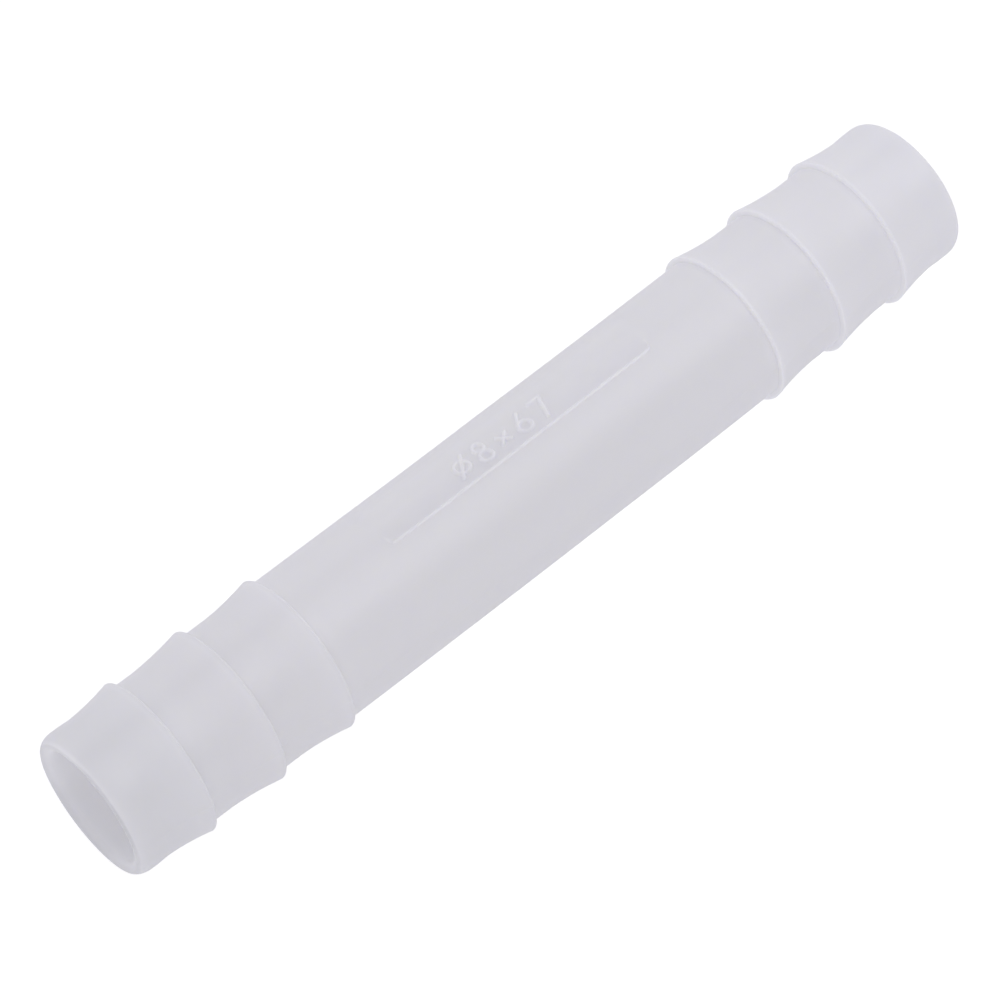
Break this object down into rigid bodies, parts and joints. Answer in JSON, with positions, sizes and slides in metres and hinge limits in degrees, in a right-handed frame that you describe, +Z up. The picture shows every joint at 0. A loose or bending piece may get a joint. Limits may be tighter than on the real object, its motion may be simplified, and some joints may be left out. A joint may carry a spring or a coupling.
{
  "type": "barbed hose connector",
  "caption": "Straight plastic hose joiner with barbs on both ends, a plain round stem between them, a through bore and a raised flat size pad.",
  "frame": {"origin": "on the bore axis, halfway between the two mouths", "axes": "+X along the bore axis, +Z up through the middle of the raised marking pad, +Y completes the right-handed frame"},
  "size_m": [0.0666, 0.0108, 0.0108],
  "materials": {
    "natural_polypropylene": "satin, natural milky translucent, as moulded"
  },
  "bodies": {
    "root": {"connector_body": "natural_polypropylene"}
  },
  "joints": []
}
